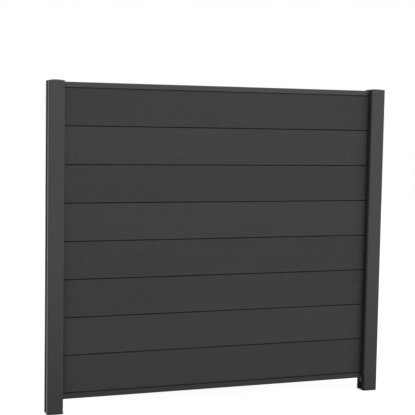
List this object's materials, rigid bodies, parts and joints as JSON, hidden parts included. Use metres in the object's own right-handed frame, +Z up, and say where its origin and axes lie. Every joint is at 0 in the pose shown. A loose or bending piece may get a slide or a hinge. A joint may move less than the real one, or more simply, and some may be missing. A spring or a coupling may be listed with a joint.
{
  "type": "garden privacy screen",
  "caption": "Garden privacy screen: horizontal tongue-and-groove boards stacked between two slotted square posts, with a rail above and below and domed post caps.",
  "frame": {"origin": "on the ground, midway between the posts and midway through their depth", "axes": "+Z up, +X along the screen to the right seen from the front, -Y towards the front"},
  "size_m": [2.006, 0.088, 1.8065],
  "materials": {
    "powder_coated_aluminium": "fine-textured anthracite powder coat on extruded aluminium, satin",
    "composite_board": "wood-plastic composite, dark grey, brushed lengthways, matt",
    "dark_plastic": "moulded weatherproof plastic, dark grey, lightly grained",
    "seal_rubber": "extruded black rubber, matt",
    "stainless_steel": "stainless steel with a thin black coating, slightly worn on the edges"
  },
  "bodies": {
    "root": {"left_post": "powder_coated_aluminium", "right_post": "powder_coated_aluminium", "bottom_rail": "powder_coated_aluminium", "top_rail": "powder_coated_aluminium", "board_1": "composite_board", "board_2": "composite_board", "board_3": "composite_board", "board_4": "composite_board", "board_5": "composite_board", "board_6": "composite_board", "board_7": "composite_board", "board_8": "composite_board", "left_post_cap": "dark_plastic", "right_post_cap": "dark_plastic", "left_rail_support": "dark_plastic", "right_rail_support": "dark_plastic", "left_front_seal": "seal_rubber", "left_back_seal": "seal_rubber", "right_front_seal": "seal_rubber", "right_back_seal": "seal_rubber", "rail_screws": "stainless_steel", "support_screws": "stainless_steel"}
  },
  "joints": []
}
